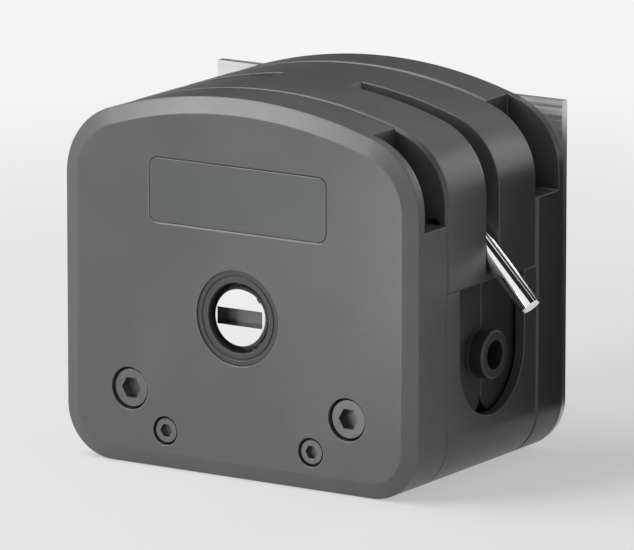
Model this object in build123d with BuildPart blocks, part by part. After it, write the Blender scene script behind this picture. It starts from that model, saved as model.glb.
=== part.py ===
"""Peristaltic pump head: a front cover, a lower casing, a rear casing and a back plate around a
three-roller rotor, with an occlusion block that two side levers lift to free the tube.

Frame: origin on the rotor axis in the rear mounting face, +X to the right seen from the front,
+Z up, the front face looking along -Y. Millimetres. "Forward" means the distance in front of the
rear mounting face, so a plane at forward f lies at y = -f.
"""

import os
from math import atan, cos, pi, radians, sin, sqrt, tan

from build123d import *

# ---------------------------------------------------------------------------------------------
# Driving dimensions
# ---------------------------------------------------------------------------------------------

# outer body
body_width = 133.0
body_above_axis = 70.5
body_below_axis = 52.5
arch_radius = 160.0
top_corner_radius = 24.0
bottom_corner_radius = 17.0
bevel_width = 5.2
bevel_depth = 2.0
edge_break = 0.8
joint_chamfer = 1.1

# slices of the body, from the rear mounting face to the front
plate_thickness = 3.0
rear_thickness = 16.0
middle_thickness = 54.0
cover_thickness = 19.0
plate_margin = 0.5
plate_top = 62.5

# rotor
shaft_diameter = 20.0
shaft_front_sink = 1.5
shaft_rear_land = 9.0
shaft_slot_width = 5.5
shaft_slot_length = 17.0
shaft_slot_depth = 6.0
shaft_chamfer = 0.8
tail_diameter = 17.0
tail_length = 3.0
tongue_width = 5.3
tongue_length = 5.0
bed_radius = 44.0
squeeze_gap = 4.2
roller_count = 3
first_roller_angle = 90.0
roller_share_of_bed = 0.5
roller_length = 28.0
roller_bore = 12.0
roller_pin_diameter = 8.0
roller_pin_overhang = 2.0
roller_end_gap = 0.5
rotor_plate_edge = 7.2
rotor_plate_thickness = 5.0
sleeve_gap = 2.8
spacer_diameter = 24.0
key_width = 6.0
key_in_shaft = 3.5

# bearings and retaining rings
bearing_outside = 32.0
bearing_width = 7.0
small_bearing_outside = 16.0
small_bearing_width = 5.0
ring_thickness = 1.2
ring_width = 1.6
ring_groove = 0.5
clip_thickness = 0.8
clip_width = 2.0
ring_opening = 60.0

# front ring
bush_outside = 31.0
bush_inside = 22.8
bush_length = 6.0
bush_sink = 0.5
bush_groove_diameter = 27.0
bush_groove_width = 0.6
bush_groove_depth = 0.4

# levers, pinions and racks
lever_pivot_inset = 24.5
lever_pivot_z = 45.2
lever_rest_angle = -46.0
lever_sweep = 178.0
lever_length = 56.2
lever_rod_diameter = 7.0
lever_tip_chamfer = 0.5
lever_spigot_diameter = 5.0
lever_spigot_in_shaft = 3.0
lever_hub_diameter = 16.0
lever_spot_depth = 0.8
lever_shaft_diameter = 8.0
lever_slot_width = 8.0
rack_module = 0.6
pinion_teeth = 11
pressure_angle = 25.0
tooth_addendum = 0.48
tooth_dedendum = 0.63
backlash = 0.06
rack_teeth = 9
rack_face = 6.0
rack_back = 4.0
rack_seat = 4.0
rack_pocket_depth = 6.5

# tube path
tube_axis_z = -12.2
tube_bore = 9.6
collar_diameter = 15.8
collar_length = 5.4
collar_round = 0.8
tube_slot_radius = 19.5
side_wall = 3.3
block_underside = 12.0
pocket_wall = 2.3
pocket_end_wall = 3.5
jaw_end_gap = 1.0
jaw_stop_gap = 0.7
jaw_bottom_z = -32.0
jaw_face_gap = 1.0
jaw_split_corner = 6.5
jaw_far_corner = 13.0
jaw_edge_chamfer = 0.4
jaw_travel = 2.5
channel_radius = 11.0
chamber_gap = 2.2

# jaw springs
spring_diameter = 5.0
spring_wire = 0.9
spring_turns = 4
spring_in_casing = 2.0
spring_in_jaw = 8.0

# finger recesses at the top corners
recess_start_x = 47.0
recess_floor_z = 34.0
recess_depth = 10.0
cover_recess_reach = 13.5
rear_recess_reach = 13.4
latch_hole_inset = 5.5
latch_hole_drop = 0.9
latch_hole_diameter = 5.8
latch_hole_depth = 3.0

# fasteners, guide pins and dowels
mount_screw_z = -27.7
mount_screw_wall = 3.15
mount_screw_diameter = 8.0
mount_head_diameter = 13.0
mount_head_height = 8.0
mount_head_sink = 1.0
mount_screw_neck = 6.6
mount_screw_thread = 12.0
cover_screw_z = -40.0
cover_screw_wall = 3.85
cover_screw_diameter = 5.0
cover_head_diameter = 8.5
cover_head_height = 5.0
cover_head_sink = 0.6
cover_screw_grip = 10.0
plate_screw_x = 52.0
plate_screw_z = 28.0
plate_screw_diameter = 4.0
plate_screw_head = 8.0
plate_screw_length = 10.0
guide_pin_x = 11.0
guide_pin_inset = 8.5
guide_pin_diameter = 8.0
guide_pin_seat = 10.0
guide_spigot_diameter = 6.0
guide_spigot_length = 8.0
dowel_inset_x = 28.5
dowel_inset_z = 8.5
dowel_diameter = 4.0
dowel_length = 12.0

# label
label_width = 66.4
label_height = 20.8
label_z = 38.4
label_corner = 3.0
label_recess = 1.0
label_recess_chamfer = 0.5
label_thickness = 0.8

# clearances
running_fit = 0.05
seat_fit = 0.02
guide_fit = 0.10
face_gap = 0.15
loose_gap = 0.4
head_clearance = 0.5
shank_clearance = 0.5
bore_clearance = 3.0
end_gap = 0.5

# ---------------------------------------------------------------------------------------------
# Places worked out from them
# ---------------------------------------------------------------------------------------------

half_width = body_width / 2
rear_back = plate_thickness
rear_front = rear_back + rear_thickness
cover_back = rear_front + middle_thickness
cover_front = cover_back + cover_thickness
mid_plane = (rear_front + cover_back) / 2
lever_pivot_x = half_width - lever_pivot_inset

shaft_front = cover_front - shaft_front_sink
shaft_radius = shaft_diameter / 2
shaft_bore_radius = shaft_radius + bore_clearance
roller_diameter = bed_radius * roller_share_of_bed
roller_pitch_radius = bed_radius - squeeze_gap - roller_diameter / 2
chamber_radius = bed_radius - squeeze_gap + chamber_gap
roller_angles = [first_roller_angle + number * 360 / roller_count for number in range(roller_count)]
roller_places = [
    (roller_pitch_radius * cos(radians(angle)), roller_pitch_radius * sin(radians(angle)))
    for angle in roller_angles
]
rollers_rear = mid_plane - roller_length / 2
rollers_front = mid_plane + roller_length / 2
plates_rear = rollers_rear - roller_end_gap - rotor_plate_thickness
plates_front = rollers_front + roller_end_gap + rotor_plate_thickness
rotor_plate_radius = roller_pitch_radius + rotor_plate_edge
sleeve_radius = roller_pitch_radius - roller_diameter / 2 - sleeve_gap

pitch_radius = rack_module * pinion_teeth / 2
tooth_pitch = pi * rack_module
lift = pitch_radius * radians(lever_sweep)
rack_pitch_x = lever_pivot_x - pitch_radius
rack_inner_x = rack_pitch_x - tooth_dedendum - rack_back
rack_low = lever_pivot_z - 2 * tooth_pitch
rack_high = rack_low + rack_teeth * tooth_pitch
lever_shaft_rear = rear_front + 2 * face_gap
lever_shaft_front = cover_back - 2 * face_gap
lever_hub_width = lever_slot_width - 2 * running_fit - loose_gap / 2

mount_screw_reach = chamber_radius + mount_screw_wall + shank_clearance + mount_screw_diameter / 2
mount_screw_x = sqrt(mount_screw_reach**2 - mount_screw_z**2)
cover_screw_reach = chamber_radius + cover_screw_wall + (shank_clearance + cover_screw_diameter) / 2
cover_screw_x = sqrt(cover_screw_reach**2 - cover_screw_z**2)
guide_pin_z = body_above_axis - guide_pin_inset
dowel_x = half_width - dowel_inset_x
dowel_z = dowel_inset_z - body_below_axis

pocket_outer_x = half_width - side_wall
pocket_inner_x = mount_screw_x + mount_screw_diameter / 2 + shank_clearance + pocket_wall
pocket_reach = middle_thickness / 2 - pocket_end_wall
pocket_floor = jaw_bottom_z - face_gap
jaw_outer_x = pocket_outer_x - jaw_face_gap
jaw_inner_x = pocket_inner_x + jaw_end_gap
jaw_reach = pocket_reach - jaw_travel - jaw_stop_gap
spring_x = (jaw_inner_x + jaw_outer_x) / 2
spring_compressed = spring_in_casing + pocket_reach - jaw_reach - jaw_travel + spring_in_jaw

both_mounts = [(-mount_screw_x, mount_screw_z), (mount_screw_x, mount_screw_z)]
both_cover_screws = [(-cover_screw_x, cover_screw_z), (cover_screw_x, cover_screw_z)]
both_guides = [(-guide_pin_x, guide_pin_z), (guide_pin_x, guide_pin_z)]
both_dowels = [(-dowel_x, dowel_z), (dowel_x, dowel_z)]
both_pivots = [(-lever_pivot_x, lever_pivot_z), (lever_pivot_x, lever_pivot_z)]
latch_places = [
    (side * (half_width - latch_hole_inset), recess_floor_z - latch_hole_drop) for side in (-1, 1)
]
plate_screw_places = [
    (side * plate_screw_x, level * plate_screw_z) for side in (-1, 1) for level in (-1, 1)
]

os.makedirs("parts", exist_ok=True)


def front_plane(forward):
    """Sketch plane that looks along -Y: its x is X and its y is Z."""
    return Plane.XZ.offset(forward)


def side_plane(x):
    """Sketch plane that looks along +X: its x is Y and its y is Z."""
    return Plane.YZ.offset(x)


def save(part, name):
    """Label a finished piece and write it as one STEP file."""
    part.label = name
    export_step(part, f"parts/{name}.step")


# ---------------------------------------------------------------------------------------------
# Shared outlines
# ---------------------------------------------------------------------------------------------

# The whole body: a box with an arched top, round top corners and round bottom corners.
with BuildSketch() as outline:
    with Locations((0, (body_above_axis - body_below_axis) / 2)):
        Rectangle(body_width, body_above_axis + body_below_axis)
    with Locations((0, body_above_axis - arch_radius)):
        Circle(arch_radius, mode=Mode.INTERSECT)
    fillet(outline.vertices().sort_by(Axis.Y)[-2:], top_corner_radius)
    fillet(outline.vertices().sort_by(Axis.Y)[:2], bottom_corner_radius)

# Above and below the underside of the occlusion block.
with BuildSketch() as upper_outline:
    add(outline.sketch)
    with Locations((0, block_underside)):
        Rectangle(body_width, body_above_axis, align=(Align.CENTER, Align.MIN), mode=Mode.INTERSECT)

with BuildSketch() as lower_outline:
    add(outline.sketch)
    add(upper_outline.sketch, mode=Mode.SUBTRACT)

# Finger recess: a strip inside the outline, from the arch round each corner down to a ledge.
with BuildSketch() as recess:
    add(outline.sketch)
    offset(outline.sketch, amount=-recess_depth, mode=Mode.SUBTRACT)
    with Locations((0, recess_floor_z)):
        Rectangle(body_width, body_above_axis, align=(Align.CENTER, Align.MIN), mode=Mode.INTERSECT)
    Rectangle(2 * recess_start_x, 4 * body_above_axis, mode=Mode.SUBTRACT)

# Rack seats, seen from the front.
with BuildSketch() as rack_seats:
    with Locations((rack_inner_x, rack_low)):
        Rectangle(rack_back, rack_high - rack_low, align=Align.MIN)
    mirror(about=Plane.YZ)

# Right-hand rack: straight teeth that face the pinion.
half_tooth = tooth_pitch / 4 - backlash / 2
half_tooth_root = half_tooth + tooth_dedendum * tan(radians(pressure_angle))
half_tooth_tip = half_tooth - tooth_addendum * tan(radians(pressure_angle))
rack_points = [(rack_inner_x, rack_high), (rack_inner_x, rack_low)]
rack_points.append((rack_pitch_x - tooth_dedendum, rack_low))
for tooth in range(rack_teeth):
    middle = rack_low + (tooth + 0.5) * tooth_pitch
    rack_points += [
        (rack_pitch_x - tooth_dedendum, middle - half_tooth_root),
        (rack_pitch_x + tooth_addendum, middle - half_tooth_tip),
        (rack_pitch_x + tooth_addendum, middle + half_tooth_tip),
        (rack_pitch_x - tooth_dedendum, middle + half_tooth_root),
    ]
rack_points.append((rack_pitch_x - tooth_dedendum, rack_high))
with BuildSketch() as rack_profile:
    with BuildLine():
        Polyline(*rack_points, close=True)
    make_face()
    mirror(about=Plane.YZ)

# Pinion: one involute tooth that points along +X, repeated round the root circle.
base_radius = pitch_radius * cos(radians(pressure_angle))
root_radius = pitch_radius - tooth_dedendum
tip_radius = pitch_radius + tooth_addendum


def involute_angle(radius):
    """Polar angle of the involute of the base circle at this radius, in radians."""
    roll = sqrt(max(radius**2 / base_radius**2 - 1, 0))
    return roll - atan(roll)


def flank_point(radius, side):
    """Point on one flank of the tooth that points along +X."""
    half_angle = (pi / 2 - backlash / rack_module) / pinion_teeth
    angle = half_angle + involute_angle(pitch_radius) - involute_angle(radius)
    return (radius * cos(angle), side * radius * sin(angle))


flank_radii = (base_radius, (base_radius + tip_radius) / 2, tip_radius)
with BuildSketch() as tooth:
    with BuildLine():
        upper = ThreePointArc(*[flank_point(radius, 1) for radius in flank_radii])
        lower = ThreePointArc(*[flank_point(radius, -1) for radius in flank_radii])
        Line(upper @ 1, lower @ 1)
        Line(lower @ 0, (0, 0))
        Line((0, 0), upper @ 0)
    make_face()
with BuildSketch() as pinion:
    Circle(root_radius)
    with PolarLocations(0, pinion_teeth):
        add(tooth.sketch)

# ---------------------------------------------------------------------------------------------
# Front cover with its label and front ring
# ---------------------------------------------------------------------------------------------

with BuildPart() as front_cover:
    with BuildSketch(front_plane(cover_back)):
        add(outline.sketch)
    extrude(amount=cover_thickness)
    front_face = front_cover.faces().sort_by(Axis.Y)[0]
    chamfer(front_face.edges(), bevel_width, bevel_depth, reference=front_face)
    chamfer(front_cover.faces().sort_by(Axis.Y)[-1].edges(), edge_break / 2)
    # finger recesses behind the front wall
    with BuildSketch(front_plane(cover_back)):
        add(recess.sketch)
    extrude(amount=cover_recess_reach, mode=Mode.SUBTRACT)
    # bearing seat from behind, shaft bore, and the seat of the front ring
    with BuildSketch(front_plane(cover_back)):
        Circle(bearing_outside / 2 + seat_fit)
    extrude(amount=bearing_width, mode=Mode.SUBTRACT)
    with BuildSketch(front_plane(cover_back)):
        Circle(shaft_bore_radius)
    extrude(amount=cover_thickness, mode=Mode.SUBTRACT)
    with BuildSketch(front_plane(cover_front)):
        Circle(bush_outside / 2 + seat_fit)
    extrude(amount=-bush_sink - bush_length, mode=Mode.SUBTRACT)
    # label recess with a chamfered rim
    with BuildSketch(front_plane(cover_front)):
        with Locations((0, label_z)):
            RectangleRounded(label_width, label_height, label_corner)
    extrude(amount=-label_recess, mode=Mode.SUBTRACT)
    recess_rim = front_cover.faces().sort_by(Axis.Y)[0].inner_wires().sort_by(Axis.Z)[-1]
    chamfer(recess_rim.edges(), label_recess_chamfer)
    # screw holes, counterbored from the front
    with Locations(front_plane(cover_front)):
        with Locations(*both_mounts):
            CounterBoreHole(
                mount_screw_diameter / 2 + shank_clearance,
                mount_head_diameter / 2 + head_clearance,
                mount_head_sink + mount_head_height,
            )
        with Locations(*both_cover_screws):
            CounterBoreHole(
                cover_screw_diameter / 2 + shank_clearance / 2,
                cover_head_diameter / 2 + head_clearance,
                cover_head_sink + cover_head_height,
            )
    # blind seats for the guide pins, the dowels and the front racks
    with BuildSketch(front_plane(cover_back)):
        with Locations(*both_guides):
            Circle(guide_pin_diameter / 2 + seat_fit)
    extrude(amount=guide_pin_seat, mode=Mode.SUBTRACT)
    with BuildSketch(front_plane(cover_back)):
        with Locations(*both_dowels):
            Circle(dowel_diameter / 2 + seat_fit)
    extrude(amount=dowel_length / 2, mode=Mode.SUBTRACT)
    with BuildSketch(front_plane(cover_back)):
        add(rack_seats.sketch)
    extrude(amount=rack_seat, mode=Mode.SUBTRACT)
save(front_cover.part, "front_cover")

with BuildPart() as label_plate:
    with BuildSketch(front_plane(cover_front - label_recess)):
        with Locations((0, label_z)):
            RectangleRounded(
                label_width - face_gap, label_height - face_gap, label_corner - face_gap / 2
            )
    extrude(amount=label_thickness)
save(label_plate.part, "label_plate")

with BuildPart() as front_ring:
    with BuildSketch(front_plane(cover_front - bush_sink)):
        Circle(bush_outside / 2)
        Circle(bush_inside / 2, mode=Mode.SUBTRACT)
    extrude(amount=-bush_length)
    with BuildSketch(front_plane(cover_front - bush_sink)):
        Circle(bush_groove_diameter / 2 + bush_groove_width / 2)
        Circle(bush_groove_diameter / 2 - bush_groove_width / 2, mode=Mode.SUBTRACT)
    extrude(amount=-bush_groove_depth, mode=Mode.SUBTRACT)
save(front_ring.part, "front_ring")

# ---------------------------------------------------------------------------------------------
# Lower casing: chamber, tube channels, jaw pockets and the U-shaped slots in the side walls
# ---------------------------------------------------------------------------------------------

with BuildPart() as lower_casing:
    with BuildSketch(front_plane(rear_front)):
        add(lower_outline.sketch)
    extrude(amount=middle_thickness)
    rims = lower_casing.edges().filter_by(Plane.XZ).filter_by(
        lambda edge: edge.center().Z < block_underside - edge_break
    )
    chamfer(rims, edge_break / 2)
    top_face = lower_casing.faces().sort_by(Axis.Z)[-1]
    chamfer(top_face.edges().filter_by(Axis.Y), edge_break / 2)
    with BuildSketch(front_plane(rear_front)):
        Circle(chamber_radius)
    extrude(amount=middle_thickness, mode=Mode.SUBTRACT)
    for side in (-1, 1):
        # pocket for the pair of jaws, open at the top
        with BuildSketch(Plane.XY.offset(block_underside)):
            with Locations((side * (pocket_inner_x + pocket_outer_x) / 2, -mid_plane)):
                Rectangle(pocket_outer_x - pocket_inner_x, 2 * pocket_reach)
        extrude(amount=pocket_floor - block_underside, mode=Mode.SUBTRACT)
        # channel from the chamber to the pocket, and the slot in the side wall
        for inner_x, outer_x, radius in (
            (chamber_radius / 2, (pocket_inner_x + pocket_outer_x) / 2, channel_radius),
            ((pocket_inner_x + pocket_outer_x) / 2, half_width, tube_slot_radius),
        ):
            with BuildSketch(side_plane(side * inner_x)):
                with Locations((-mid_plane, tube_axis_z)):
                    Circle(radius)
                    Rectangle(
                        2 * radius, block_underside - tube_axis_z, align=(Align.CENTER, Align.MIN)
                    )
            extrude(amount=side * (outer_x - inner_x), mode=Mode.SUBTRACT)
        # seats of the jaw springs in the ends of the pocket
        with BuildSketch(front_plane(mid_plane - pocket_reach - spring_in_casing)):
            with Locations((side * spring_x, tube_axis_z)):
                Circle(spring_diameter / 2 + loose_gap)
        extrude(amount=2 * (pocket_reach + spring_in_casing), mode=Mode.SUBTRACT)
    # screw and dowel holes
    with BuildSketch(front_plane(rear_front)):
        with Locations(*both_mounts):
            Circle(mount_screw_diameter / 2 + shank_clearance)
        with Locations(*both_cover_screws):
            Circle(cover_screw_diameter / 2 + shank_clearance / 2)
    extrude(amount=middle_thickness, mode=Mode.SUBTRACT)
    for forward in (rear_front, cover_back - dowel_length / 2):
        with BuildSketch(front_plane(forward)):
            with Locations(*both_dowels):
                Circle(dowel_diameter / 2 + seat_fit)
        extrude(amount=dowel_length / 2, mode=Mode.SUBTRACT)
save(lower_casing.part, "lower_casing")

# ---------------------------------------------------------------------------------------------
# Rear casing and back plate
# ---------------------------------------------------------------------------------------------

with BuildPart() as rear_casing:
    with BuildSketch(front_plane(rear_back)):
        add(outline.sketch)
    extrude(amount=rear_thickness)
    chamfer(rear_casing.faces().sort_by(Axis.Y)[0].edges(), joint_chamfer)
    with BuildSketch(front_plane(rear_front)):
        add(recess.sketch)
    extrude(amount=-rear_recess_reach, mode=Mode.SUBTRACT)
    with BuildSketch(front_plane(rear_front)):
        Circle(bearing_outside / 2 + seat_fit)
    extrude(amount=-bearing_width, mode=Mode.SUBTRACT)
    with BuildSketch(front_plane(rear_back)):
        Circle(shaft_bore_radius)
        with Locations(*both_mounts):
            Circle(mount_screw_diameter / 2 + shank_clearance)
    extrude(amount=rear_thickness, mode=Mode.SUBTRACT)
    for places, radius, depth in (
        (both_guides, guide_spigot_diameter / 2 + seat_fit, guide_spigot_length + end_gap),
        (both_dowels, dowel_diameter / 2 + seat_fit, dowel_length / 2),
        (both_cover_screws, cover_screw_diameter / 2 + seat_fit, cover_screw_grip + end_gap),
    ):
        with BuildSketch(front_plane(rear_front)):
            with Locations(*places):
                Circle(radius)
        extrude(amount=-depth, mode=Mode.SUBTRACT)
    with BuildSketch(front_plane(rear_front)):
        add(rack_seats.sketch)
    extrude(amount=-rack_seat, mode=Mode.SUBTRACT)
    with BuildSketch(front_plane(rear_back)):
        with Locations(*plate_screw_places):
            Circle(plate_screw_diameter / 2 + seat_fit)
    extrude(amount=plate_screw_length - plate_thickness + end_gap, mode=Mode.SUBTRACT)
save(rear_casing.part, "rear_casing")

with BuildPart() as back_plate:
    with BuildSketch(front_plane(0)):
        with Locations((0, plate_margin - body_below_axis)):
            Rectangle(
                body_width - 2 * plate_margin,
                plate_top + body_below_axis - plate_margin,
                align=(Align.CENTER, Align.MIN),
            )
        fillet(vertices().sort_by(Axis.Y)[:2], bottom_corner_radius - plate_margin)
        Circle(shaft_bore_radius, mode=Mode.SUBTRACT)
        with Locations(*both_mounts):
            Circle(mount_screw_diameter / 2 + shank_clearance, mode=Mode.SUBTRACT)
    extrude(amount=plate_thickness)
    with Locations(Plane((0, 0, 0), x_dir=(-1, 0, 0), z_dir=(0, 1, 0))):
        with Locations(*plate_screw_places):
            CounterSinkHole(
                plate_screw_diameter / 2 + face_gap, plate_screw_head / 2 + face_gap, plate_thickness
            )
save(back_plate.part, "back_plate")

# ---------------------------------------------------------------------------------------------
# Screws, dowels and guide pins
# ---------------------------------------------------------------------------------------------

# The mounting screws are captive: a waisted shank through the head, and the thread wholly behind it.
for name, places, head_diameter, head_height, head_sink, diameter, neck, neck_end, thread in (
    (
        "mounting_screws",
        both_mounts,
        mount_head_diameter,
        mount_head_height,
        mount_head_sink,
        mount_screw_diameter,
        mount_screw_neck,
        0,
        mount_screw_thread,
    ),
    (
        "cover_screws",
        both_cover_screws,
        cover_head_diameter,
        cover_head_height,
        cover_head_sink,
        cover_screw_diameter,
        cover_screw_diameter,
        rear_front,
        cover_screw_grip,
    ),
):
    head_front = cover_front - head_sink
    with BuildPart() as screws:
        with BuildSketch(front_plane(head_front)):
            with Locations(*places):
                Circle(head_diameter / 2)
        extrude(amount=-head_height)
        chamfer(screws.faces().sort_by(Axis.Y)[: len(places)].edges(), edge_break / 2)
        with BuildSketch(front_plane(neck_end)):
            with Locations(*places):
                Circle(neck / 2)
        extrude(amount=head_front - head_height - neck_end)
        with BuildSketch(front_plane(neck_end)):
            with Locations(*places):
                Circle(diameter / 2)
        extrude(amount=-thread)
        with BuildSketch(front_plane(head_front)):
            with Locations(*places):
                RegularPolygon(0.4 * diameter, 6, major_radius=False)
        extrude(amount=-head_height / 2, mode=Mode.SUBTRACT)
    save(screws.part, name)

with BuildPart() as plate_screws:
    with BuildSketch(front_plane(0)):
        with Locations(*plate_screw_places):
            Circle(plate_screw_head / 2)
    extrude(amount=(plate_screw_head - plate_screw_diameter) / 2 - face_gap, taper=45)
    with BuildSketch(front_plane(0)):
        with Locations(*plate_screw_places):
            Circle(plate_screw_diameter / 2)
    extrude(amount=plate_screw_length)
save(plate_screws.part, "plate_screws")

with BuildPart() as dowels:
    for forward in (rear_front, cover_back):
        with BuildSketch(front_plane(forward - dowel_length / 2 + end_gap / 2)):
            with Locations(*both_dowels):
                Circle(dowel_diameter / 2)
        extrude(amount=dowel_length - end_gap)
save(dowels.part, "dowels")

with BuildPart() as guide_pins:
    with BuildSketch(front_plane(rear_front)):
        with Locations(*both_guides):
            Circle(guide_pin_diameter / 2)
    extrude(amount=middle_thickness + guide_pin_seat - end_gap)
    with BuildSketch(front_plane(rear_front)):
        with Locations(*both_guides):
            Circle(guide_spigot_diameter / 2)
    extrude(amount=-guide_spigot_length)
save(guide_pins.part, "guide_pins")

with BuildPart() as lift_racks:
    for forward, toward in ((rear_front, 1), (cover_back, -1)):
        with BuildSketch(front_plane(forward)):
            add(rack_profile.sketch)
        extrude(amount=toward * rack_face)
        with BuildSketch(front_plane(forward)):
            add(rack_seats.sketch)
        extrude(amount=-toward * rack_seat)
save(lift_racks.part, "lift_racks")

# ---------------------------------------------------------------------------------------------
# Occlusion block: arched top, tube bed, lever grooves, lever bores, rack pockets, guide slots
# ---------------------------------------------------------------------------------------------

groove_floor = lever_rod_diameter / 2 + loose_gap
with BuildSketch() as lever_groove:
    with BuildLine():
        reach = body_width
        low = radians(lever_rest_angle)
        high = radians(lever_rest_angle + lever_sweep)
        pivot = Vector(lever_pivot_x, lever_pivot_z)
        low_foot = pivot + Vector(sin(low), -cos(low)) * groove_floor
        high_foot = pivot + Vector(-sin(high), cos(high)) * groove_floor
        low_end = low_foot + Vector(cos(low), sin(low)) * reach
        high_end = high_foot + Vector(cos(high), sin(high)) * reach
        Polyline(
            high_end,
            high_foot,
            low_foot,
            low_end,
            low_end + Vector(reach, 0),
            high_end + Vector(2 * reach, 0),
            close=True,
        )
    make_face()
    with Locations((lever_pivot_x, lever_pivot_z)):
        Circle(lever_hub_diameter / 2 + loose_gap)
    mirror(about=Plane.YZ)

with BuildSketch() as rack_pockets:
    with Locations((rack_inner_x - loose_gap, rack_low - lift - loose_gap)):
        Rectangle(
            lever_pivot_x - rack_inner_x + loose_gap,
            rack_high - rack_low + lift + 2 * loose_gap,
            align=Align.MIN,
        )
    with Locations((lever_pivot_x, lever_pivot_z)):
        Circle(lever_shaft_diameter / 2 + loose_gap)
    mirror(about=Plane.YZ)

block_rear = rear_front + face_gap
block_front = cover_back - face_gap
with BuildPart() as occlusion_block:
    with BuildSketch(front_plane(block_rear)):
        add(upper_outline.sketch)
    extrude(amount=block_front - block_rear)
    rims = occlusion_block.edges().filter_by(Plane.XZ).filter_by(
        lambda edge: edge.center().Z > block_underside + joint_chamfer
    )
    chamfer(rims, joint_chamfer)
    bottom_face = occlusion_block.faces().sort_by(Axis.Z)[0]
    chamfer(bottom_face.edges().filter_by(Axis.Y), edge_break / 2)
    with BuildSketch(front_plane(block_rear)):
        Circle(bed_radius)
        with Locations(*both_pivots):
            Circle(lever_shaft_diameter / 2 + running_fit)
        with Locations(*[(x, z - lift / 2) for x, z in both_guides]):
            SlotCenterToCenter(lift, guide_pin_diameter + 2 * guide_fit, rotation=90)
    extrude(amount=block_front - block_rear, mode=Mode.SUBTRACT)
    with BuildSketch(front_plane(mid_plane - lever_slot_width / 2)):
        add(lever_groove.sketch)
    extrude(amount=lever_slot_width, mode=Mode.SUBTRACT)
    for forward in (rear_front, cover_back - rack_pocket_depth):
        with BuildSketch(front_plane(forward)):
            add(rack_pockets.sketch)
        extrude(amount=rack_pocket_depth, mode=Mode.SUBTRACT)
    # latch holes in both end faces, half hidden behind the ledges of the finger recesses
    for forward, toward in ((block_rear, 1), (block_front, -1)):
        with BuildSketch(front_plane(forward)):
            with Locations(*latch_places):
                Circle(latch_hole_diameter / 2)
        extrude(amount=toward * latch_hole_depth, mode=Mode.SUBTRACT)
save(occlusion_block.part, "occlusion_block")

# ---------------------------------------------------------------------------------------------
# Levers: a shaft with a pinion cut on each end, a hub in the groove and a rod screwed into both
# ---------------------------------------------------------------------------------------------

for side, hand in ((1, "right"), (-1, "left")):
    pivot = (side * lever_pivot_x, lever_pivot_z)
    along = Vector(side * cos(radians(lever_rest_angle)), 0, sin(radians(lever_rest_angle)))
    centre = Vector(side * lever_pivot_x, -mid_plane, lever_pivot_z)
    tooth_turn = 180 if side > 0 else 0
    rod_shoulder = lever_hub_diameter / 2 - lever_spot_depth
    rod_inner = lever_shaft_diameter / 2 - lever_spigot_in_shaft

    with BuildPart() as lever_shaft:
        with BuildSketch(front_plane(lever_shaft_rear)):
            with Locations(pivot):
                add(pinion.sketch, rotation=tooth_turn)
        extrude(amount=lever_shaft_front - lever_shaft_rear)
        with BuildSketch(front_plane(rear_front + rack_pocket_depth)):
            with Locations(pivot):
                Circle(lever_shaft_diameter / 2)
        extrude(amount=middle_thickness - 2 * rack_pocket_depth)
        with BuildSketch(Plane(centre, z_dir=along)):
            Circle(lever_spigot_diameter / 2 + seat_fit)
        extrude(amount=lever_shaft_diameter, mode=Mode.SUBTRACT)
    save(lever_shaft.part, f"{hand}_lever_shaft")

    with BuildPart() as lever_hub:
        with BuildSketch(front_plane(mid_plane - lever_hub_width / 2)):
            with Locations(pivot):
                Circle(lever_hub_diameter / 2)
                Circle(lever_shaft_diameter / 2 + seat_fit, mode=Mode.SUBTRACT)
        extrude(amount=lever_hub_width)
        with BuildSketch(Plane(centre, z_dir=along)):
            Circle(lever_spigot_diameter / 2 + seat_fit)
        extrude(amount=lever_hub_diameter, mode=Mode.SUBTRACT)
        with BuildSketch(Plane(centre + along * rod_shoulder, z_dir=along)):
            Circle(lever_rod_diameter / 2 + seat_fit)
        extrude(amount=lever_hub_diameter, mode=Mode.SUBTRACT)
    save(lever_hub.part, f"{hand}_lever_hub")

    with BuildPart() as lever_rod:
        with BuildSketch(Plane(centre + along * rod_shoulder, z_dir=along)):
            Circle(lever_rod_diameter / 2)
        extrude(amount=lever_length - rod_shoulder)
        tip = lever_rod.faces().sort_by(Axis(centre, along))[-1]
        chamfer(tip.edges(), lever_tip_chamfer)
        with BuildSketch(Plane(centre + along * rod_inner, z_dir=along)):
            Circle(lever_spigot_diameter / 2)
        extrude(amount=rod_shoulder - rod_inner)
    save(lever_rod.part, f"{hand}_lever_rod")

# ---------------------------------------------------------------------------------------------
# Rotor: slotted shaft, plates, key, sleeves, retaining rings and bearing inner rings
# ---------------------------------------------------------------------------------------------

key_top = shaft_radius + key_width - key_in_shaft
ring_places = [
    mid_plane - middle_thickness / 2 - bearing_width - ring_thickness,
    mid_plane + middle_thickness / 2 + bearing_width,
]

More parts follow.
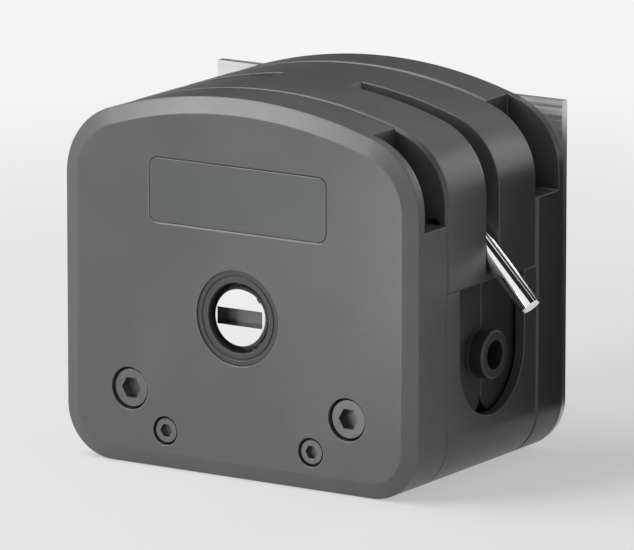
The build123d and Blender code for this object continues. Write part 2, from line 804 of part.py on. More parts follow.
with BuildPart() as rotor_shaft:
    with BuildSketch(front_plane(shaft_rear_land)):
        Circle(shaft_radius)
    extrude(amount=shaft_front - shaft_rear_land)
    chamfer(rotor_shaft.faces().sort_by(Axis.Y)[0].edges(), shaft_chamfer)
    with BuildSketch(front_plane(-tail_length)):
        Circle(tail_diameter / 2)
    extrude(amount=shaft_rear_land + tail_length)
    with BuildSketch(front_plane(-tail_length)):
        Circle(tail_diameter / 2)
        Rectangle(tail_diameter, tongue_width, mode=Mode.INTERSECT)
    extrude(amount=-tongue_length)
    with BuildSketch(front_plane(shaft_front)):
        Rectangle(shaft_slot_length, shaft_slot_width)
    extrude(amount=-shaft_slot_depth, mode=Mode.SUBTRACT)
    with BuildSketch(front_plane(plates_rear)):
        with Locations((0, shaft_radius - key_in_shaft)):
            Rectangle(key_width + 2 * seat_fit, key_width, align=(Align.CENTER, Align.MIN))
    extrude(amount=plates_front - plates_rear, mode=Mode.SUBTRACT)
    for forward in ring_places:
        with BuildSketch(front_plane(forward)):
            Circle(shaft_radius)
            Circle(shaft_radius - ring_groove, mode=Mode.SUBTRACT)
        extrude(amount=ring_thickness, mode=Mode.SUBTRACT)
save(rotor_shaft.part, "rotor_shaft")

with BuildPart() as rotor_key:
    with BuildSketch(front_plane(plates_rear)):
        with Locations((0, shaft_radius - key_in_shaft)):
            Rectangle(key_width, key_width, align=(Align.CENTER, Align.MIN))
    extrude(amount=plates_front - plates_rear)
save(rotor_key.part, "rotor_key")

for name, forward in (
    ("rotor_plate_rear", plates_rear),
    ("rotor_plate_front", plates_front - rotor_plate_thickness),
):
    with BuildPart() as rotor_plate:
        with BuildSketch(front_plane(forward)):
            Circle(rotor_plate_radius)
            Circle(shaft_radius + seat_fit, mode=Mode.SUBTRACT)
            Rectangle(
                key_width + 2 * seat_fit,
                key_top + seat_fit,
                align=(Align.CENTER, Align.MIN),
                mode=Mode.SUBTRACT,
            )
            with Locations(*roller_places):
                Circle(roller_pin_diameter / 2 + seat_fit, mode=Mode.SUBTRACT)
        extrude(amount=rotor_plate_thickness)
        circles = rotor_plate.edges().filter_by(GeomType.CIRCLE)
        rims = circles.group_by(lambda edge: round(edge.radius, 3))[-1]
        chamfer(rims, edge_break / 2)
    save(rotor_plate.part, name)

with BuildPart() as rotor_sleeve:
    with BuildSketch(front_plane(plates_rear + rotor_plate_thickness)):
        Circle(sleeve_radius)
        Circle(shaft_radius + seat_fit, mode=Mode.SUBTRACT)
        Rectangle(
            key_width + 2 * seat_fit,
            key_top + seat_fit,
            align=(Align.CENTER, Align.MIN),
            mode=Mode.SUBTRACT,
        )
    extrude(amount=plates_front - plates_rear - 2 * rotor_plate_thickness)
save(rotor_sleeve.part, "rotor_sleeve")

with BuildPart() as rotor_spacers:
    for start, end in ((rear_front, plates_rear), (plates_front, cover_back)):
        with BuildSketch(front_plane(start)):
            Circle(spacer_diameter / 2)
            Circle(shaft_radius + seat_fit, mode=Mode.SUBTRACT)
        extrude(amount=end - start)
save(rotor_spacers.part, "rotor_spacers")

with BuildPart() as shaft_rings:
    for forward in ring_places:
        with BuildSketch(front_plane(forward)):
            Circle(shaft_radius - ring_groove + seat_fit + ring_width)
            Circle(shaft_radius - ring_groove + seat_fit, mode=Mode.SUBTRACT)
            with BuildLine():
                half = radians(ring_opening / 2)
                Polyline(
                    (0, 0),
                    (shaft_diameter * cos(half), -shaft_diameter * sin(half)),
                    (shaft_diameter * cos(half), shaft_diameter * sin(half)),
                    close=True,
                )
            make_face(mode=Mode.SUBTRACT)
        extrude(amount=ring_thickness)
save(shaft_rings.part, "shaft_rings")

bearing_middle = (shaft_radius + bearing_outside / 2) / 2
for name, inside, outside in (
    ("bearing_inner_rings", shaft_radius + seat_fit, bearing_middle - face_gap),
    ("bearing_outer_rings", bearing_middle + face_gap, bearing_outside / 2),
):
    with BuildPart() as bearing_rings:
        for forward in (rear_front - bearing_width, cover_back):
            with BuildSketch(front_plane(forward)):
                Circle(outside)
                Circle(inside, mode=Mode.SUBTRACT)
            extrude(amount=bearing_width)
    save(bearing_rings.part, name)

# ---------------------------------------------------------------------------------------------
# Rollers with their bearings, pins and clips
# ---------------------------------------------------------------------------------------------

pins_rear = plates_rear - roller_pin_overhang
pins_front = plates_front + roller_pin_overhang
clip_places = [plates_rear - clip_thickness, plates_front]

with BuildPart() as roller_pins:
    with BuildSketch(front_plane(pins_rear)):
        with Locations(*roller_places):
            Circle(roller_pin_diameter / 2)
    extrude(amount=pins_front - pins_rear)
    for forward in clip_places:
        with BuildSketch(front_plane(forward)):
            with Locations(*roller_places):
                Circle(roller_pin_diameter / 2)
            with Locations(*roller_places):
                Circle(roller_pin_diameter / 2 - ring_groove, mode=Mode.SUBTRACT)
        extrude(amount=clip_thickness, mode=Mode.SUBTRACT)
save(roller_pins.part, "roller_pins")

with BuildPart() as roller_clips:
    for forward in clip_places:
        with BuildSketch(front_plane(forward)):
            with Locations(*roller_places):
                Circle(roller_pin_diameter / 2 - ring_groove + seat_fit + clip_width)
            with Locations(*roller_places):
                Circle(roller_pin_diameter / 2 - ring_groove + seat_fit, mode=Mode.SUBTRACT)
                Rectangle(
                    roller_pin_diameter, roller_pin_diameter / 2,
                    align=(Align.MIN, Align.CENTER), mode=Mode.SUBTRACT,
                )
        extrude(amount=clip_thickness)
save(roller_clips.part, "roller_clips")

for number, place in enumerate(roller_places, start=1):
    with BuildPart() as roller:
        with BuildSketch(front_plane(rollers_rear)):
            with Locations(place):
                Circle(roller_diameter / 2)
                Circle(roller_bore / 2, mode=Mode.SUBTRACT)
        extrude(amount=roller_length)
        circles = roller.edges().filter_by(GeomType.CIRCLE)
        rims = circles.group_by(lambda edge: round(edge.radius, 3))[-1]
        chamfer(rims, edge_break)
        for forward in (rollers_rear, rollers_front - small_bearing_width):
            with BuildSketch(front_plane(forward)):
                with Locations(place):
                    Circle(small_bearing_outside / 2 + seat_fit)
            extrude(amount=small_bearing_width, mode=Mode.SUBTRACT)
    save(roller.part, f"roller_{number}")

    with BuildPart() as roller_bearings:
        for forward in (rollers_rear, rollers_front - small_bearing_width):
            with BuildSketch(front_plane(forward)):
                with Locations(place):
                    Circle(small_bearing_outside / 2)
                    Circle(roller_pin_diameter / 2 + running_fit, mode=Mode.SUBTRACT)
            extrude(amount=small_bearing_width)
    save(roller_bearings.part, f"roller_bearings_{number}")

# ---------------------------------------------------------------------------------------------
# Tube jaws and their springs
# ---------------------------------------------------------------------------------------------

for side, hand in ((1, "right"), (-1, "left")):
    for toward, end_name in ((1, "front"), (-1, "rear")):
        with BuildPart() as jaw:
            with BuildSketch(side_plane(side * jaw_inner_x)):
                with Locations((-mid_plane, jaw_bottom_z)):
                    Rectangle(
                        jaw_reach,
                        block_underside - face_gap - jaw_bottom_z,
                        align=(Align.MAX if toward > 0 else Align.MIN, Align.MIN),
                    )
                for corner, radius in ((0, jaw_far_corner), (-1, jaw_split_corner)):
                    feet = vertices().group_by(Axis.Y)[0].sort_by(Axis.X, reverse=toward < 0)
                    fillet(feet[corner], radius)
            extrude(amount=side * (jaw_outer_x - jaw_inner_x))
            split_top = (side * jaw_outer_x, -mid_plane, block_underside)
            split_edge = jaw.edges().filter_by(Axis.Z).sort_by_distance(split_top)[0]
            chamfer(split_edge, jaw_edge_chamfer)
            # half collar round the tube hole
            with BuildSketch(side_plane(side * jaw_inner_x)):
                with Locations((-mid_plane, tube_axis_z)):
                    Circle(collar_diameter / 2)
                    Rectangle(
                        collar_diameter,
                        collar_diameter,
                        align=(Align.MAX if toward > 0 else Align.MIN, Align.CENTER),
                        mode=Mode.INTERSECT,
                    )
            extrude(amount=side * (jaw_outer_x - jaw_inner_x + collar_length))
            rim = jaw.edges().filter_by(GeomType.CIRCLE).sort_by(lambda edge: side * edge.center().X)[-1]
            fillet(rim, collar_round)
            with BuildSketch(side_plane(side * jaw_inner_x)):
                with Locations((-mid_plane, tube_axis_z)):
                    Circle(tube_bore / 2)
            extrude(amount=side * (jaw_outer_x - jaw_inner_x + collar_length), mode=Mode.SUBTRACT)
            with BuildSketch(front_plane(mid_plane + toward * jaw_reach)):
                with Locations((side * spring_x, tube_axis_z)):
                    Circle(spring_diameter / 2 + loose_gap)
            extrude(amount=-toward * spring_in_jaw, mode=Mode.SUBTRACT)
        save(jaw.part, f"jaw_{hand}_{end_name}")

coil_radius = (spring_diameter - spring_wire) / 2
spring_pitch = (spring_compressed - spring_wire) / spring_turns
spring_start = mid_plane + pocket_reach + spring_in_casing - spring_wire / 2
with BuildPart() as jaw_springs:
    for side in (-1, 1):
        with BuildLine():
            coil = Helix(
                spring_pitch,
                spring_compressed - spring_wire,
                coil_radius,
                center=(side * spring_x, -spring_start, tube_axis_z),
                direction=(0, 1, 0),
            )
        with BuildSketch(Plane(coil @ 0, z_dir=coil % 0)):
            Circle(spring_wire / 2)
        sweep(path=coil, is_frenet=True)
    mirror(about=Plane.XZ.offset(mid_plane))
save(jaw_springs.part, "jaw_springs")
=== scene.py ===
"""Finish, light and camera for a peristaltic pump head: moulded dark-grey casings, a bare label
plate, polished steel shaft and levers, and the roller rotor inside."""

import math

import bpy
import numpy as np
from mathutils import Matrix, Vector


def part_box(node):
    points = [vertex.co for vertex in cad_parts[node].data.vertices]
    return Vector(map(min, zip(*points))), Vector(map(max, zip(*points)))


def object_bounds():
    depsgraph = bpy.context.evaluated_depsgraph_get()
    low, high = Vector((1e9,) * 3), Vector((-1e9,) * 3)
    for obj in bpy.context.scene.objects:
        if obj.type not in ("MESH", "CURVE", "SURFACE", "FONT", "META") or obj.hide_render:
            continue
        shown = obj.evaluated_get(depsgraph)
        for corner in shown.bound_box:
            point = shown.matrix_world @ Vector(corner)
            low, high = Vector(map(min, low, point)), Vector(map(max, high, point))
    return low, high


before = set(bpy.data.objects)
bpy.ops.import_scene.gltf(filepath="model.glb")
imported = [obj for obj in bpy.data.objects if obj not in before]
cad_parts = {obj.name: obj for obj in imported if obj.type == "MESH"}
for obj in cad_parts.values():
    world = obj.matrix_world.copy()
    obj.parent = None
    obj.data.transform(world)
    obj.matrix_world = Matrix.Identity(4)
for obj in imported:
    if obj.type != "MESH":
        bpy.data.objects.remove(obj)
cad_low, cad_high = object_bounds()

# ---------------------------------------------------------------------------------------------
# Camera: a long lens, a little above the head and to its right, so that the front, the right
# side and the arched top show together.
# ---------------------------------------------------------------------------------------------

view_azimuth = math.radians(32.80)
view_elevation = math.radians(12.21)
view_distance = 2.6026
aim_right_of_axis = 0.0004
aim_below_middle = 0.0032
cover_low, cover_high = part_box("front_cover")
plate_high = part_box("back_plate")[1]
body_middle = (
    aim_right_of_axis,
    (cover_low[1] + plate_high[1]) / 2,
    (cover_low[2] + cover_high[2]) / 2 - aim_below_middle,
)

camera_data = bpy.data.cameras.new("camera")
camera_data.sensor_width = 36.0
camera_data.lens = 460.4
camera_data.clip_end = 20.0
camera = bpy.data.objects.new("camera", camera_data)
bpy.context.scene.collection.objects.link(camera)
camera.location = (
    body_middle[0] + view_distance * math.sin(view_azimuth) * math.cos(view_elevation),
    body_middle[1] - view_distance * math.cos(view_azimuth) * math.cos(view_elevation),
    body_middle[2] + view_distance * math.sin(view_elevation),
)
camera.rotation_euler = (math.pi / 2 - view_elevation, 0.0, view_azimuth)
bpy.context.scene.camera = camera
bpy.context.scene.view_settings.view_transform = "Standard"

# ---------------------------------------------------------------------------------------------
# Floor and room: one pale sheet under the head in a white room. The camera and the reflections
# see both nearly white; the sheet keeps the head's own soft shadow near it.
# ---------------------------------------------------------------------------------------------

floor_gap = 0.0002
floor_height = cad_low[2] - floor_gap
floor_reach = 6.0
floor_white = (0.86, 0.86, 0.86, 1.0)
floor_glow_white = (0.93, 0.93, 0.93, 1.0)
fade_begins, fade_ends = 0.12, 0.70
glow_at_head, glow_far_off = 0.48, 0.97
fill_white = (0.97, 0.98, 1.0, 1.0)
fill_strength = 0.20
room_white = (0.90, 0.90, 0.90, 1.0)
corner_sides = ((-1, -1), (1, -1), (1, 1), (-1, 1))

floor_mesh = bpy.data.meshes.new("floor")
floor_mesh.from_pydata(
    [(x * floor_reach, y * floor_reach, floor_height) for x, y in corner_sides],
    [],
    [(0, 1, 2, 3)],
)
floor = bpy.data.objects.new("floor", floor_mesh)
bpy.context.scene.collection.objects.link(floor)
floor_material = bpy.data.materials.new("pale_floor")
floor_material.use_nodes = True
floor_mesh.materials.append(floor_material)
world = bpy.data.worlds.new("studio")
world.use_nodes = True
bpy.context.scene.world = world


def calculate(tree, operation, *terms):
    """The output of a math node in this tree, whose terms are numbers or other nodes' outputs."""
    node = tree.nodes.new("ShaderNodeMath")
    node.operation = operation
    for socket, term in zip(node.inputs, terms):
        if isinstance(term, (int, float)):
            socket.default_value = term
        else:
            tree.links.new(term, socket)
    return node.outputs[0]


def seen_directly(tree):
    """A value in this tree: 1 for rays from the camera or by way of a mirror or glass, else 0."""
    paths = tree.nodes.new("ShaderNodeLightPath")
    direct = paths.outputs["Is Camera Ray"]
    for ray in ("Is Glossy Ray", "Is Transmission Ray"):
        direct = calculate(tree, "MAXIMUM", direct, paths.outputs[ray])
    return direct


floor_tree = floor_material.node_tree
floor_shader = floor_tree.nodes["Principled BSDF"]
floor_shader.inputs["Base Color"].default_value = floor_white
floor_shader.inputs["Roughness"].default_value = 0.7
floor_shader.inputs["Specular IOR Level"].default_value = 0.2
floor_glow = floor_tree.nodes.new("ShaderNodeEmission")
floor_glow.inputs["Color"].default_value = floor_glow_white
floor_place = floor_tree.nodes.new("ShaderNodeTexCoord")
floor_distance = floor_tree.nodes.new("ShaderNodeVectorMath")
floor_distance.operation = "LENGTH"
floor_tree.links.new(floor_place.outputs["Object"], floor_distance.inputs[0])
floor_fade = floor_tree.nodes.new("ShaderNodeMapRange")
floor_fade.interpolation_type = "SMOOTHSTEP"
floor_fade.inputs["From Min"].default_value = fade_begins
floor_fade.inputs["From Max"].default_value = fade_ends
floor_fade.inputs["To Min"].default_value = glow_at_head
floor_fade.inputs["To Max"].default_value = glow_far_off
floor_tree.links.new(floor_distance.outputs["Value"], floor_fade.inputs["Value"])
glow_share = calculate(
    floor_tree, "MULTIPLY", seen_directly(floor_tree), floor_fade.outputs["Result"]
)
floor_mix = floor_tree.nodes.new("ShaderNodeMixShader")
floor_tree.links.new(glow_share, floor_mix.inputs["Fac"])
floor_tree.links.new(floor_shader.outputs[0], floor_mix.inputs[1])
floor_tree.links.new(floor_glow.outputs[0], floor_mix.inputs[2])
floor_tree.links.new(floor_mix.outputs[0], floor_tree.nodes["Material Output"].inputs["Surface"])

room_tree = world.node_tree
room_tree.nodes.clear()
room_out = room_tree.nodes.new("ShaderNodeOutputWorld")
fill_light = room_tree.nodes.new("ShaderNodeBackground")
fill_light.inputs["Color"].default_value = fill_white
fill_light.inputs["Strength"].default_value = fill_strength
white_room = room_tree.nodes.new("ShaderNodeBackground")
white_room.inputs["Color"].default_value = room_white
room_mix = room_tree.nodes.new("ShaderNodeMixShader")
room_tree.links.new(seen_directly(room_tree), room_mix.inputs["Fac"])
room_tree.links.new(fill_light.outputs[0], room_mix.inputs[1])
room_tree.links.new(white_room.outputs[0], room_mix.inputs[2])
room_tree.links.new(room_mix.outputs[0], room_out.inputs["Surface"])

# ---------------------------------------------------------------------------------------------
# Studio lamps and cards: the main softbox stands at the front left, where the bevel mirrors it;
# the others light the floor and the joint edges, the foot of the cover and the shoulders. Black
# cards shade the rear and draw the stripes along the polished rods.
# ---------------------------------------------------------------------------------------------


def softbox(name, place, size, radiance):
    """A square lamp with sides of this size, turned to face the middle of the head."""
    lamp_data = bpy.data.lights.new(name, "AREA")
    lamp_data.size = size
    lamp_data.energy = radiance * math.pi * size**2
    lamp = bpy.data.objects.new(name, lamp_data)
    bpy.context.scene.collection.objects.link(lamp)
    lamp.location = place
    toward = np.array(body_middle) - np.array(place)
    lamp.rotation_euler = (
        math.atan2(math.hypot(toward[0], toward[1]), -toward[2]),
        0.0,
        math.atan2(-toward[0], toward[1]),
    )
    return lamp


softbox("front_left_box", place=(-0.69, -1.04, 0.50), size=0.52, radiance=9.0)
softbox("overhead_box", place=(-0.58, -0.33, 1.08), size=0.70, radiance=4.7)
low_front_box = softbox(
    "low_front_box", place=(-0.01, -0.31, -0.035), size=0.11, radiance=5.5
)
softbox("shoulder_box", place=(0.24, 0.76, 0.22), size=0.30, radiance=3.0)

# The low box stands on the floor, so it is kept from burning a bright patch round its foot.
off_the_low_box = bpy.data.collections.new("off_the_low_box")
off_the_low_box.objects.link(floor)
off_the_low_box.collection_objects[0].light_linking.link_state = "EXCLUDE"
low_front_box.light_linking.receiver_collection = off_the_low_box


def card(name, middle, along, rise, shade):
    """A flat card by its middle, with half its sides as two arrows. It shades and shows in
    reflections, but the camera doesn't see it and it casts no hard shadow."""
    mesh = bpy.data.meshes.new(name)
    corners = [
        tuple(np.array(middle) + side * np.array(along) + lift * np.array(rise))
        for side, lift in corner_sides
    ]
    mesh.from_pydata(corners, [], [(0, 1, 2, 3)])
    sheet = bpy.data.objects.new(name, mesh)
    bpy.context.scene.collection.objects.link(sheet)
    sheet.visible_camera = False
    sheet.visible_shadow = False
    material = bpy.data.materials.new(name)
    material.use_nodes = True
    shader = material.node_tree.nodes["Principled BSDF"]
    shader.inputs["Base Color"].default_value = (shade, shade, shade, 1.0)
    shader.inputs["Roughness"].default_value = 0.9
    mesh.materials.append(material)


card_black = 0.01
side_card_rise = 0.05
card(
    "side_card",
    middle=(0.047, 0.100, floor_height + side_card_rise),
    along=(0.060, -0.106, 0.0),
    rise=(0.0, 0.0, side_card_rise),
    shade=card_black,
)
card(
    "rear_card",
    middle=(-0.325, 0.525, 0.24),
    along=(0.425, 0.225, 0.0),
    rise=(0.0, 0.0, 0.21),
    shade=0.05,
)
card(
    "upper_front_card",
    middle=(0.45, -0.28, 0.55),
    along=(0.16, 0.21, -0.01),
    rise=(-0.10, 0.10, 0.10),
    shade=card_black,
)
card(
    "upper_rear_card",
    middle=(0.43, 0.28, 0.53),
    along=(-0.10, 0.15, -0.05),
    rise=(0.14, 0.08, 0.10),
    shade=card_black,
)

# ---------------------------------------------------------------------------------------------
# Casings and occlusion block: glass-filled plastic, moulded dark grey and screwed together round
# the rotor. The mould leaves a fine spark-eroded grain, and handling leaves smoother patches. The
# paler edges are partly rubbed by handling and partly a painted highlight along them.
# ---------------------------------------------------------------------------------------------

edge_radius = 0.0006
mix_factor, mix_first, mix_second, mix_result = 0, 6, 7, 2  # sockets of a Mix node for colours


def plastic_skin_group():
    """Grain and mottle of a plastic face: a fine noise for height, and its sum with a broad slow
    noise, less the mean, that shifts the colour and the roughness a little."""
    patch_scale = 38.0
    grain_share = 0.6
    roughness_swing = 0.18
    noise_mean = 0.5
    group = bpy.data.node_groups.new("plastic_skin", "ShaderNodeTree")
    for name, kind, value in (
        ("Colour", "NodeSocketColor", (0.1, 0.1, 0.1, 1.0)),
        ("Base Roughness", "NodeSocketFloat", 0.45),
        ("Grain Scale", "NodeSocketFloat", 1800.0),
        ("Mottle", "NodeSocketFloat", 0.12),
    ):
        group.interface.new_socket(name, in_out="INPUT", socket_type=kind).default_value = value
    for name, kind in (
        ("Colour", "NodeSocketColor"),
        ("Roughness", "NodeSocketFloat"),
        ("Height", "NodeSocketFloat"),
    ):
        group.interface.new_socket(name, in_out="OUTPUT", socket_type=kind)
    nodes, links = group.nodes, group.links
    entry = nodes.new("NodeGroupInput")
    leave = nodes.new("NodeGroupOutput")
    place = nodes.new("ShaderNodeTexCoord")
    grain = nodes.new("ShaderNodeTexNoise")
    grain.inputs["Detail"].default_value = 3.0
    grain.inputs["Roughness"].default_value = 0.6
    links.new(place.outputs["Object"], grain.inputs["Vector"])
    links.new(entry.outputs["Grain Scale"], grain.inputs["Scale"])
    patches = nodes.new("ShaderNodeTexNoise")
    patches.inputs["Scale"].default_value = patch_scale
    patches.inputs["Detail"].default_value = 4.0
    patches.inputs["Roughness"].default_value = 0.55
    links.new(place.outputs["Object"], patches.inputs["Vector"])
    summed = calculate(
        group, "MULTIPLY_ADD", grain.outputs["Fac"], grain_share, patches.outputs["Fac"]
    )
    uneven = calculate(group, "SUBTRACT", summed, noise_mean * (1 + grain_share))
    tinted = nodes.new("ShaderNodeVectorMath")
    tinted.operation = "SCALE"
    links.new(entry.outputs["Colour"], tinted.inputs[0])
    shade = calculate(group, "MULTIPLY_ADD", uneven, entry.outputs["Mottle"], 1.0)
    links.new(shade, tinted.inputs["Scale"])
    rough = calculate(
        group, "MULTIPLY_ADD", uneven, roughness_swing, entry.outputs["Base Roughness"]
    )
    links.new(tinted.outputs[0], leave.inputs["Colour"])
    links.new(rough, leave.inputs["Roughness"])
    links.new(grain.outputs["Fac"], leave.inputs["Height"])
    return group


def edge_rounding_group():
    """Edges of a piece: a normal rounded over the width, as a tool's small radii round it, and a
    mask of how far that normal turns from the face's own."""
    turn_unworn, turn_worn = 0.995, 0.80
    group = bpy.data.node_groups.new("edge_rounding", "ShaderNodeTree")
    group.interface.new_socket("Width", in_out="INPUT", socket_type="NodeSocketFloat")
    group.interface.new_socket("Mask", in_out="OUTPUT", socket_type="NodeSocketFloat")
    group.interface.new_socket("Normal", in_out="OUTPUT", socket_type="NodeSocketVector")
    nodes, links = group.nodes, group.links
    entry = nodes.new("NodeGroupInput")
    leave = nodes.new("NodeGroupOutput")
    rounded = nodes.new("ShaderNodeBevel")
    rounded.samples = 6
    links.new(entry.outputs["Width"], rounded.inputs["Radius"])
    surface = nodes.new("ShaderNodeNewGeometry")
    turn = nodes.new("ShaderNodeVectorMath")
    turn.operation = "DOT_PRODUCT"
    links.new(rounded.outputs["Normal"], turn.inputs[0])
    links.new(surface.outputs["Normal"], turn.inputs[1])
    mask = nodes.new("ShaderNodeMapRange")
    mask.inputs["From Min"].default_value = turn_unworn
    mask.inputs["From Max"].default_value = turn_worn
    links.new(turn.outputs["Value"], mask.inputs["Value"])
    links.new(mask.outputs["Result"], leave.inputs["Mask"])
    links.new(rounded.outputs["Normal"], leave.inputs["Normal"])
    return group


plastic_skin = plastic_skin_group()
edge_rounding = edge_rounding_group()


def plastic(name, colour, roughness, grain_scale, grain_depth, mottle, edge_shade=1.8):
    """A plastic of this colour, with a grain of grain_scale to the metre, raised by grain_depth
    metres, and edges of edge_shade times the colour: above 1 partly rubbed pale by handling and
    partly a painted highlight, below 1 a painted shade along the edges."""
    material = bpy.data.materials.new(name)
    material.use_nodes = True
    nodes, links = material.node_tree.nodes, material.node_tree.links
    shader = nodes["Principled BSDF"]
    shader.inputs["Specular IOR Level"].default_value = 0.65
    skin = nodes.new("ShaderNodeGroup")
    skin.node_tree = plastic_skin
    skin.inputs["Colour"].default_value = (*colour, 1.0)
    skin.inputs["Base Roughness"].default_value = roughness
    skin.inputs["Grain Scale"].default_value = grain_scale
    skin.inputs["Mottle"].default_value = mottle
    links.new(skin.outputs["Roughness"], shader.inputs["Roughness"])
    edge_finder = nodes.new("ShaderNodeGroup")
    edge_finder.node_tree = edge_rounding
    edge_finder.inputs["Width"].default_value = edge_radius
    # Edges take edge_shade times the colour: a painted highlight above 1, partly rubbing too, and a
    # painted shade below 1.
    edge_rub_and_shading = nodes.new("ShaderNodeMix")
    edge_rub_and_shading.data_type = "RGBA"
    edge_rub_and_shading_colour = (*(edge_shade * share for share in colour), 1.0)
    edge_rub_and_shading.inputs[mix_second].default_value = edge_rub_and_shading_colour
    links.new(edge_finder.outputs["Mask"], edge_rub_and_shading.inputs[mix_factor])
    links.new(skin.outputs["Colour"], edge_rub_and_shading.inputs[mix_first])
    links.new(edge_rub_and_shading.outputs[mix_result], shader.inputs["Base Color"])
    bump = nodes.new("ShaderNodeBump")
    bump.inputs["Distance"].default_value = grain_depth
    links.new(edge_finder.outputs["Normal"], bump.inputs["Normal"])
    links.new(skin.outputs["Height"], bump.inputs["Height"])
    links.new(bump.outputs["Normal"], shader.inputs["Normal"])
    return material


def dress(material, *pieces):
    """Put this material on the named pieces in place of their plain one."""
    for piece in pieces:
        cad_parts[piece].data.materials[0] = material


# edge_shade paints the casings' edges pale: partly rubbed by handling, partly a painted highlight.
casing_plastic = plastic(
    "casing_plastic",
    colour=(0.078, 0.078, 0.078),
    roughness=0.34,
    grain_scale=1600.0,
    grain_depth=0.00005,
    mottle=0.40,
    edge_shade=2.6,
)
dress(casing_plastic, "front_cover", "lower_casing", "rear_casing", "occlusion_block")

# ---------------------------------------------------------------------------------------------
# Label plate: a thin sheet of smooth bluish-grey film with round corners, glued into a shallow
# recess of the front cover and left bare.
# ---------------------------------------------------------------------------------------------

# edge_shade lights the film's rim: a painted highlight along its edge.
label_film = plastic(
    "label_film",
    colour=(0.068, 0.073, 0.073),
    roughness=0.38,
    grain_scale=3500.0,
    grain_depth=0.00001,
    mottle=0.10,
    edge_shade=3.2,
)
dress(label_film, "label_plate")

# ---------------------------------------------------------------------------------------------
# Front ring: a plain bearing turned from darker plastic, with a groove in its face, pressed into
# the cover round the end of the shaft.
# ---------------------------------------------------------------------------------------------

ring_plastic = plastic(
    "ring_plastic",
    colour=(0.020, 0.020, 0.021),
    roughness=0.45,
    grain_scale=2600.0,
    grain_depth=0.00003,
    mottle=0.25,
    edge_shade=2.0,
)
dress(ring_plastic, "front_ring")

# ---------------------------------------------------------------------------------------------
# Tube jaws: near-black plastic halves behind the side slots, smoother than the casings. Two on
# each side slide together under their springs and close round the tube.
# ---------------------------------------------------------------------------------------------

# edge_shade below 1 darkens the jaws' edges: painted shade along the split between the halves.
jaw_plastic = plastic(
    "jaw_plastic",
    colour=(0.022, 0.022, 0.023),
    roughness=0.42,
    grain_scale=2600.0,
    grain_depth=0.00003,
    mottle=0.3,
    edge_shade=0.3,
)
dress(jaw_plastic, "jaw_right_front", "jaw_right_rear", "jaw_left_front", "jaw_left_rear")

# ---------------------------------------------------------------------------------------------
# Levers and shaft: ground and polished stainless steel. Each lever rod goes through its hub into
# the lever shaft, and the rotor's shaft ends in a turned face with a milled slot across it, dull
# inside and painted dark there as shade.
# ---------------------------------------------------------------------------------------------

polish = {
    "colour": (0.92, 0.92, 0.91),
    "roughness": 0.07,
    "mark_scale": 900.0,
    "mark_depth": 0.000002,
}
slot_width, slot_depth, slot_height = 0.0170, 0.0060, 0.0055
slot_skin = 0.0002
# The slot's faces are painted dark: painted shade inside the slot, over its duller milled finish.
slot_shade_colour = (0.13, 0.13, 0.13, 1.0)
slot_dulling = 0.3


def metal(name, colour, roughness, mark_scale, mark_depth, lay=(1.0, 1.0, 1.0)):
    """A metal finish: a mirror whose roughness and height vary with fine marks, mark_scale to the
    metre, which run out along the directions that lay makes smaller."""
    smoothest, roughest = 0.7, 1.4
    material = bpy.data.materials.new(name)
    material.use_nodes = True
    nodes, links = material.node_tree.nodes, material.node_tree.links
    shader = nodes["Principled BSDF"]
    shader.inputs["Base Color"].default_value = (*colour, 1.0)
    shader.inputs["Metallic"].default_value = 1.0
    place = nodes.new("ShaderNodeTexCoord")
    stretch = nodes.new("ShaderNodeMapping")
    stretch.inputs["Scale"].default_value = lay
    links.new(place.outputs["Object"], stretch.inputs["Vector"])
    marks = nodes.new("ShaderNodeTexNoise")
    marks.inputs["Scale"].default_value = mark_scale
    marks.inputs["Detail"].default_value = 4.0
    links.new(stretch.outputs["Vector"], marks.inputs["Vector"])
    worn = nodes.new("ShaderNodeMapRange")
    worn.inputs["From Min"].default_value = 0.25
    worn.inputs["From Max"].default_value = 0.75
    worn.inputs["To Min"].default_value = smoothest * roughness
    worn.inputs["To Max"].default_value = roughest * roughness
    links.new(marks.outputs["Fac"], worn.inputs["Value"])
    links.new(worn.outputs["Result"], shader.inputs["Roughness"])
    bump = nodes.new("ShaderNodeBump")
    bump.inputs["Distance"].default_value = mark_depth
    links.new(marks.outputs["Fac"], bump.inputs["Height"])
    links.new(bump.outputs["Normal"], shader.inputs["Normal"])
    return material


polished_steel = metal("polished_steel", **polish)
dress(
    polished_steel, "right_lever_rod", "left_lever_rod", "right_lever_hub", "left_lever_hub"
)


def within_box(tree, middle, half_sizes):
    """A mask in this tree: 1 where the surface lies in the box round this middle, else 0."""
    place = tree.nodes.new("ShaderNodeTexCoord")
    offset = tree.nodes.new("ShaderNodeVectorMath")
    offset.operation = "SUBTRACT"
    offset.inputs[1].default_value = middle
    tree.links.new(place.outputs["Object"], offset.inputs[0])
    reach = tree.nodes.new("ShaderNodeVectorMath")
    reach.operation = "ABSOLUTE"
    tree.links.new(offset.outputs["Vector"], reach.inputs[0])
    along = tree.nodes.new("ShaderNodeSeparateXYZ")
    tree.links.new(reach.outputs["Vector"], along.inputs["Vector"])
    mask = 1.0
    for axis, half_size in zip("XYZ", half_sizes):
        inside = calculate(tree, "LESS_THAN", along.outputs[axis], half_size)
        mask = calculate(tree, "MULTIPLY", mask, inside)
    return mask


shaft_steel = metal("shaft_steel", **polish)
shaft_tree = shaft_steel.node_tree
shaft_shader = shaft_tree.nodes["Principled BSDF"]
shaft_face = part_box("rotor_shaft")[0][1]
inside_slot = within_box(
    shaft_tree,
    middle=(0.0, shaft_face + slot_skin + (slot_depth / 2 + slot_skin), 0.0),
    half_sizes=[size / 2 + slot_skin for size in (slot_width, slot_depth, slot_height)],
)
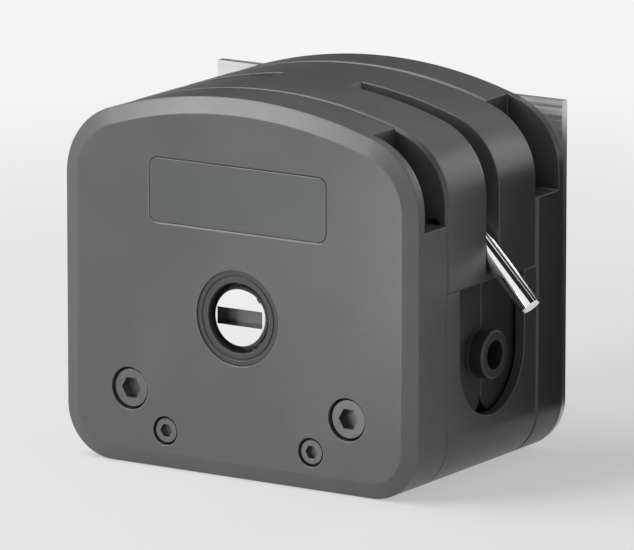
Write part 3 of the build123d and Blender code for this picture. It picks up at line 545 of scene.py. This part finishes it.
# Inside the slot the colour turns dark: painted shade.
shaft_tone = shaft_tree.nodes.new("ShaderNodeMix")
shaft_tone.data_type = "RGBA"
shaft_tone.inputs[mix_first].default_value = (*polish["colour"], 1.0)
shaft_tone.inputs[mix_second].default_value = slot_shade_colour
shaft_tree.links.new(inside_slot, shaft_tone.inputs[mix_factor])
shaft_tree.links.new(shaft_tone.outputs[mix_result], shaft_shader.inputs["Base Color"])
polish_roughness = shaft_shader.inputs["Roughness"].links[0].from_socket
shaft_roughness = calculate(shaft_tree, "MULTIPLY_ADD", inside_slot, slot_dulling, polish_roughness)
shaft_tree.links.new(shaft_roughness, shaft_shader.inputs["Roughness"])
dress(shaft_steel, "rotor_shaft")

# ---------------------------------------------------------------------------------------------
# Screws: socket-head screws with a black oxide skin, rubbed a little bright. Two long ones hold
# the head to its drive, and two short ones hold the front cover.
# ---------------------------------------------------------------------------------------------

black_steel = metal(
    "black_steel", colour=(0.15, 0.15, 0.155), roughness=0.38, mark_scale=700.0, mark_depth=0.00001
)
dress(black_steel, "mounting_screws", "cover_screws")

# ---------------------------------------------------------------------------------------------
# Inside steel parts: turned stainless screws, pins, bearings and lever shafts, and oiled steel
# for the racks, springs and clips. The casings close round nearly all of them.
# ---------------------------------------------------------------------------------------------

turned_steel = metal(
    "turned_steel", colour=(0.56, 0.56, 0.55), roughness=0.28, mark_scale=1200.0, mark_depth=0.00001
)
dress(
    turned_steel,
    "plate_screws",
    "dowels",
    "guide_pins",
    "bearing_outer_rings",
    "bearing_inner_rings",
    "rotor_key",
    "rotor_spacers",
    "roller_pins",
    "roller_bearings_1",
    "roller_bearings_2",
    "roller_bearings_3",
    "right_lever_shaft",
    "left_lever_shaft",
)

oiled_steel = metal(
    "oiled_steel", colour=(0.28, 0.28, 0.27), roughness=0.3, mark_scale=1500.0, mark_depth=0.00001
)
dress(oiled_steel, "lift_racks", "jaw_springs", "shaft_rings", "roller_clips")

# ---------------------------------------------------------------------------------------------
# Rotor plates and sleeve: aluminium, machined and anodised to a fine satin grain. The plates are
# keyed to the shaft and carry the roller pins.
# ---------------------------------------------------------------------------------------------

anodised = metal(
    "anodised", colour=(0.62, 0.63, 0.64), roughness=0.38, mark_scale=2200.0, mark_depth=0.00001
)
dress(anodised, "rotor_plate_rear", "rotor_plate_front", "rotor_sleeve")

# ---------------------------------------------------------------------------------------------
# Rollers: ivory acetal turned smooth from bar, so that it doesn't chafe the tube. Each runs on
# two small bearings on its pin.
# ---------------------------------------------------------------------------------------------

acetal = plastic(
    "acetal",
    colour=(0.70, 0.68, 0.62),
    roughness=0.3,
    grain_scale=2500.0,
    grain_depth=0.00001,
    mottle=0.06,
)
dress(acetal, "roller_1", "roller_2", "roller_3")

# ---------------------------------------------------------------------------------------------
# Back plate: a flat sheet of stainless steel, brushed from side to side and screwed to the back
# of the rear casing. It is the face that sits on the drive.
# ---------------------------------------------------------------------------------------------

brushed_steel = metal(
    "brushed_steel",
    colour=(0.62, 0.62, 0.61),
    roughness=0.36,
    mark_scale=1800.0,
    mark_depth=0.00000002,
    lay=(0.01, 1.0, 1.0),
)
dress(brushed_steel, "back_plate")
